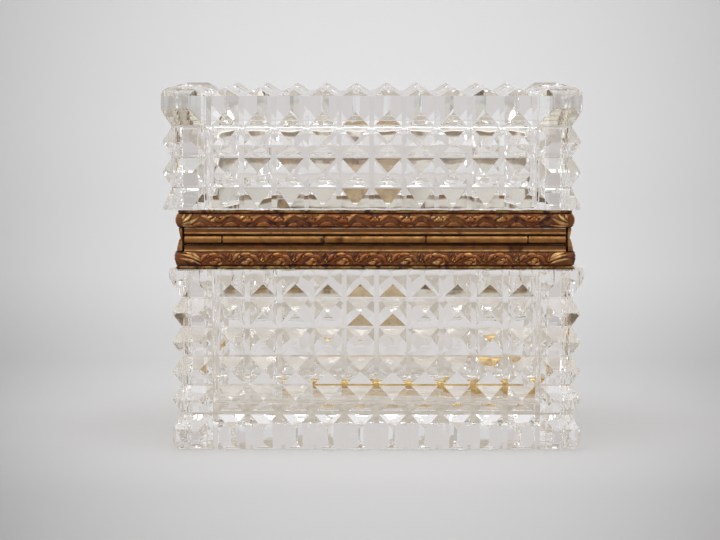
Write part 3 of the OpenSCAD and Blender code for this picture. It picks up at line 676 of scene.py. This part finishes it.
def makeBronze():
    material, tree, shader, node, lump = patinaMetal(
        "worn gilt bronze", (0.4, 0.15, 0.05), (0.20, 0.078, 0.036), (0.07, 0.04, 0.045), 0.6, 0.9, 0.34, 0.35)
    high, x, y, z = heightOver(tree)
    uneven = calc(tree, "MULTIPLY", calc(tree, "SUBTRACT", noise(tree, 700, 3.0, 1.0), 0.5), 0.5)
    # colour by height over the glass: the bead, dark olive next to the glass, the frieze's ground, the quirk and the
    # neck; the quirk's near-black is painted shade in its groove, and the neck is painted lighter than its metal to
    # make up for the shade it stands in
    tone = bands(tree, calc(tree, "ADD", high, uneven), 0.0, 10.0, (
        (0.0, (0.06, 0.06, 0.03)), (0.30, (0.11, 0.095, 0.04)), (0.50, (0.30, 0.20, 0.08)), (0.95, (0.48, 0.31, 0.12)),
        (1.30, (0.23, 0.105, 0.045)), (1.55, (0.20, 0.08, 0.04)), (3.6, (0.28, 0.12, 0.058)), (5.35, (0.18, 0.07, 0.04)),
        (5.75, (0.05, 0.025, 0.02)), (6.1, (0.30, 0.15, 0.065)), (7.6, (0.62, 0.38, 0.16)), (10.0, (0.56, 0.34, 0.14))))
    # golden and purple stretches
    ground = calc(tree, "MULTIPLY", ramp(tree, high, 1.2, 1.5), ramp(tree, high, 6.1, 5.7))
    gold = calc(tree, "MULTIPLY", ramp(tree, noise(tree, 75, 3.0, 21.0), 0.46, 0.62, 0.0, 0.6), ground)
    purple = calc(tree, "MULTIPLY", ramp(tree, noise(tree, 240, 3.0, 17.0), 0.50, 0.60, 0.0, 0.8), ground)
    tone = mixColour(tree, gold, tone, (0.32, 0.16, 0.055, 1))
    join(tree, mixColour(tree, purple, tone, (0.085, 0.045, 0.045, 1)), node.inputs["Clean"])
    join(tree, ramp(tree, high, 5.8, 6.4, 0.9, 0.3), node.inputs["Stained"])
    addCement(tree, shader, node, ramp(tree, high, 0.08, 0.05))
    return material


def makeLeafBronze():
    material, tree, shader, node, lump = patinaMetal(
        "gilt leaves", (0.6, 0.3, 0.1), (0.26, 0.09, 0.035), (0.08, 0.04, 0.04), 0.55, 0.6, 0.27, 0.3)
    given = addNode(tree, "ShaderNodeAttribute", {"attribute_name": "leaf"})
    parts = addNode(tree, "ShaderNodeSeparateXYZ")
    join(tree, given.outputs["Vector"], parts.inputs[0])
    along, across, glow = parts.outputs
    # from dark at the leaves' feet to pale gold at their tops: partly the gilt's own colour, partly painted shade and
    # painted highlight
    tone = bands(tree, glow, 0.0, 1.0, (
        (0.0, (0.05, 0.02, 0.015)), (0.28, (0.20, 0.068, 0.03)), (0.48, (0.38, 0.15, 0.055)),
        (0.66, (0.54, 0.26, 0.095)), (0.84, (0.74, 0.43, 0.17)), (1.0, (0.98, 0.74, 0.42))))
    gold = ramp(tree, noise(tree, 75, 3.0, 21.0), 0.44, 0.60, 0.0, 0.6)
    join(tree, mixColour(tree, gold, tone, (1.0, 1.35, 1.5, 1), "MULTIPLY"), node.inputs["Clean"])
    # slanting veins and a middle rib
    phase = calc(tree, "SUBTRACT", calc(tree, "MULTIPLY", along, 44.0), calc(tree, "MULTIPLY", across, 7.0))
    vein = calc(tree, "MULTIPLY", calc(tree, "SINE", phase), calc(tree, "MULTIPLY", across, 0.22))
    rib = calc(tree, "MULTIPLY", ramp(tree, across, 0.0, 0.18, 1.0, 0.0), 0.35)
    join(tree, calc(tree, "ADD", node.outputs["Height"], calc(tree, "ADD", vein, rib)), lump.inputs["Height"])
    return material


def makeHingeBrass():
    material, tree, shader, node, lump = patinaMetal(
        "hinge brass", (0.5, 0.26, 0.08), (0.26, 0.11, 0.04), (0.05, 0.025, 0.02), 0.45, 0.35, 0.30, 0.12)
    high, x, y, z = heightOver(tree)
    # colour by height over the strips and the barrel, with painted light in it: painted highlights along the strips'
    # lower edges, the upper strip's top edge and the barrel's middle; painted shade on the lower strip under the
    # barrel, at the barrel's foot and at its top by the gap
    tone = bands(tree, z, 64.8, 72.8, (
        (64.8, (0.38, 0.20, 0.07)), (65.15, (0.62, 0.38, 0.15)), (65.6, (0.42, 0.23, 0.09)), (65.9, (0.22, 0.10, 0.05)),
        (66.8, (0.11, 0.05, 0.035)), (67.3, (0.14, 0.06, 0.035)), (67.9, (0.34, 0.16, 0.055)), (68.6, (0.42, 0.21, 0.07)),
        (69.3, (0.44, 0.24, 0.085)), (70.2, (0.26, 0.12, 0.04)), (70.9, (0.62, 0.36, 0.15)), (71.3, (0.22, 0.10, 0.035)),
        (72.2, (0.20, 0.095, 0.04)), (72.5, (0.52, 0.42, 0.38)), (72.8, (0.56, 0.46, 0.42))))
    # old stains on the barrel and on the lower strip, and painted shade in the gaps between the knuckles
    onBarrel = calc(tree, "MULTIPLY", stainAt(tree, z, 68.3, 1.4, 0.4), calc(
        tree, "ADD", stainAt(tree, x, 11.5, 1.3), stainAt(tree, x, 17.0, 0.7, 0.3), True))
    side = calc(tree, "ABSOLUTE", x)
    # painted shade in the gaps between the knuckles
    knuckleGapShade = calc(tree, "ADD", stainAt(tree, side, 16.5, 0.3, 0.12), stainAt(tree, side, 49.5, 0.3, 0.12), True)
    onBarrel = calc(tree, "MAXIMUM", onBarrel, calc(tree, "MULTIPLY", knuckleGapShade, stainAt(tree, z, 68.75, 1.7, 0.2)))
    onStrip = calc(tree, "MULTIPLY", stainAt(tree, z, 65.6, 1.6, 0.4), stainAt(tree, x, -45.5, 2.3))
    # the stains and the painted shade in the knuckle gaps together
    worn = calc(tree, "ADD", onBarrel, onStrip, True)
    tone = mixColour(tree, calc(tree, "MULTIPLY", worn, 0.9), tone, (0.045, 0.022, 0.018, 1))
    join(tree, tone, node.inputs["Clean"])
    return material


def makeFrameBrass():
    # tarnished brass towards the parting, smeared with old plaster next to the glass
    material, tree, shader, node, lump = patinaMetal(
        "frame brass", (0.50, 0.41, 0.30), (0.34, 0.28, 0.19), (0.12, 0.07, 0.035), 0.6, 0.5, 0.36, 0.12)
    high, x, y, z = heightOver(tree)
    cloud = noise(tree, 260, 3.0, 5.0, (0.4, 0.4, 1.0))
    uneven = calc(tree, "MULTIPLY", calc(tree, "SUBTRACT", cloud, 0.5), 2.6)
    level = calc(tree, "ADD", z, uneven)
    tone = bands(tree, level, 59.0, 78.5, (
        (59.0, (0.62, 0.58, 0.50)), (65.4, (0.60, 0.55, 0.46)), (66.4, (0.74, 0.68, 0.58)), (67.2, (0.58, 0.37, 0.16)),
        (68.6, (0.39, 0.22, 0.085)), (68.9, (0.46, 0.32, 0.15)), (69.8, (0.30, 0.27, 0.19)), (71.6, (0.36, 0.32, 0.23)), (72.6, (0.30, 0.13, 0.045)),
        (73.6, (0.13, 0.06, 0.03)), (74.3, (0.45, 0.36, 0.26)), (76.2, (0.56, 0.47, 0.35)), (76.9, (0.42, 0.22, 0.08)),
        (78.5, (0.34, 0.17, 0.06))))
    # the flat faces that meet when the box is shut keep more of their brass
    across = calc(tree, "ABSOLUTE", x)
    lip = calc(tree, "MULTIPLY", calc(tree, "LESS_THAN", across, 55.5),
               calc(tree, "LESS_THAN", calc(tree, "ABSOLUTE", y), 34.4))
    for label, flat, smeared in (("Clean", (0.60, 0.42, 0.19, 1), tone), ("Dull", (0.50, 0.345, 0.155, 1), (0.34, 0.28, 0.19, 1)),
                                 ("Stain", (0.37, 0.24, 0.105, 1), (0.12, 0.07, 0.035, 1))):
        join(tree, mixColour(tree, lip, flat, smeared), node.inputs[label])
    # the cement smeared over the lip is thin in places, and a line next to the glass is left bare
    cover = ramp(tree, noise(tree, 300, 3.0, 8.0, (0.5, 0.5, 1.2)), 0.36, 0.50, 0.75, 1.0)
    bare = calc(tree, "MULTIPLY", stainAt(tree, z, 77.8, 0.8, 0.3),
                ramp(tree, noise(tree, 150, 2.0, 12.0, (1.0, 1.0, 0.3)), 0.40, 0.52))
    worn = calc(tree, "MULTIPLY", stainAt(tree, z, 68.2, 1.3, 0.4),
                ramp(tree, noise(tree, 110, 2.0, 31.0, (1.0, 1.0, 0.3)), 0.44, 0.54))
    onLid = calc(tree, "MULTIPLY", calc(tree, "MULTIPLY", ramp(tree, level, 73.4, 74.6), cover),
                 calc(tree, "SUBTRACT", 1.0, bare))
    thin = calc(tree, "MULTIPLY", ramp(tree, z, 68.6, 68.4), ramp(tree, across, 26.0, 12.0, 0.7, 1.0))
    smear = calc(tree, "MAXIMUM", calc(tree, "MAXIMUM", ramp(tree, level, 65.4, 63.2), thin), onLid)
    smear = calc(tree, "MULTIPLY", calc(tree, "MULTIPLY", smear, lip), calc(tree, "SUBTRACT", 1.0, worn))
    addCement(tree, shader, node, calc(tree, "MAXIMUM", smear, ramp(tree, high, 0.08, 0.05)))
    return material


def makePlaster():
    material, tree, shader = newMaterial("plaster")
    cloud = noise(tree, 240, 4.0)
    grain = noise(tree, 2600, 3.0, 2.0)
    join(tree, mixColour(tree, ramp(tree, cloud, 0.35, 0.7), (0.80, 0.77, 0.70, 1), (0.66, 0.60, 0.47, 1)),
         shader.inputs["Base Color"])
    join(tree, ramp(tree, grain, 0.2, 0.8, 0.75, 0.95), shader.inputs["Roughness"])
    lump = addNode(tree, "ShaderNodeBump", Strength=0.4, Distance=0.2 * mm)
    join(tree, grain, lump.inputs["Height"])
    join(tree, lump.outputs[0], shader.inputs["Normal"])
    return material


def makeResidue():
    # greenish crumbs, from pale cement to verdigris
    material, tree, shader = newMaterial("old residue", Roughness=0.85)
    tone = bands(tree, noise(tree, 420, 3.0, 6.0), 0.3, 0.7, (
        (0.3, (0.10, 0.11, 0.05)), (0.45, (0.30, 0.30, 0.12)), (0.55, (0.55, 0.52, 0.30)), (0.7, (0.70, 0.67, 0.50))))
    join(tree, tone, shader.inputs["Base Color"])
    lump = addNode(tree, "ShaderNodeBump", Strength=0.5, Distance=0.1 * mm)
    join(tree, noise(tree, 3000, 2.0), lump.inputs["Height"])
    join(tree, lump.outputs[0], shader.inputs["Normal"])
    return material


metals = {
    "moulding_bronze": makeBronze(),
    "hinge_brass": makeHingeBrass(),
    "frame_brass": makeFrameBrass(),
    "lock_brass": patinaMetal("lock brass", (0.84, 0.68, 0.44), (0.62, 0.46, 0.27), (0.22, 0.13, 0.06), 0.5, 0.25, 0.30, 0.1)[0],
    "rivet_brass": patinaMetal("rivet brass", (0.66, 0.46, 0.2), (0.36, 0.2, 0.08), (0.1, 0.06, 0.03), 0.4, 0.3, 0.32, 0.15)[0],
    "key_gilt": patinaMetal("key gilding", (0.86, 0.60, 0.21), (0.62, 0.38, 0.12), (0.16, 0.09, 0.035), 0.4, 0.45, 0.22, 0.12)[0],
    "steel": patinaMetal("steel", (0.42, 0.41, 0.39), (0.24, 0.21, 0.18), (0.10, 0.05, 0.03), 0.5, 0.5, 0.34, 0.15)[0],
    "cement": makePlaster(),
}
leafBronze = makeLeafBronze()
for piece in friezes:
    giveMaterial(piece, leafBronze)
oldResidue = makeResidue()
for piece in residue:
    giveMaterial(piece, oldResidue)
for row in frame["record"]["subparts"]:
    name, slot = row["node"], row["material_slot"]
    if slot in metals:
        giveMaterial(seated.get(name, frame["nodes"][name]), metals[slot])
print("materials ready")
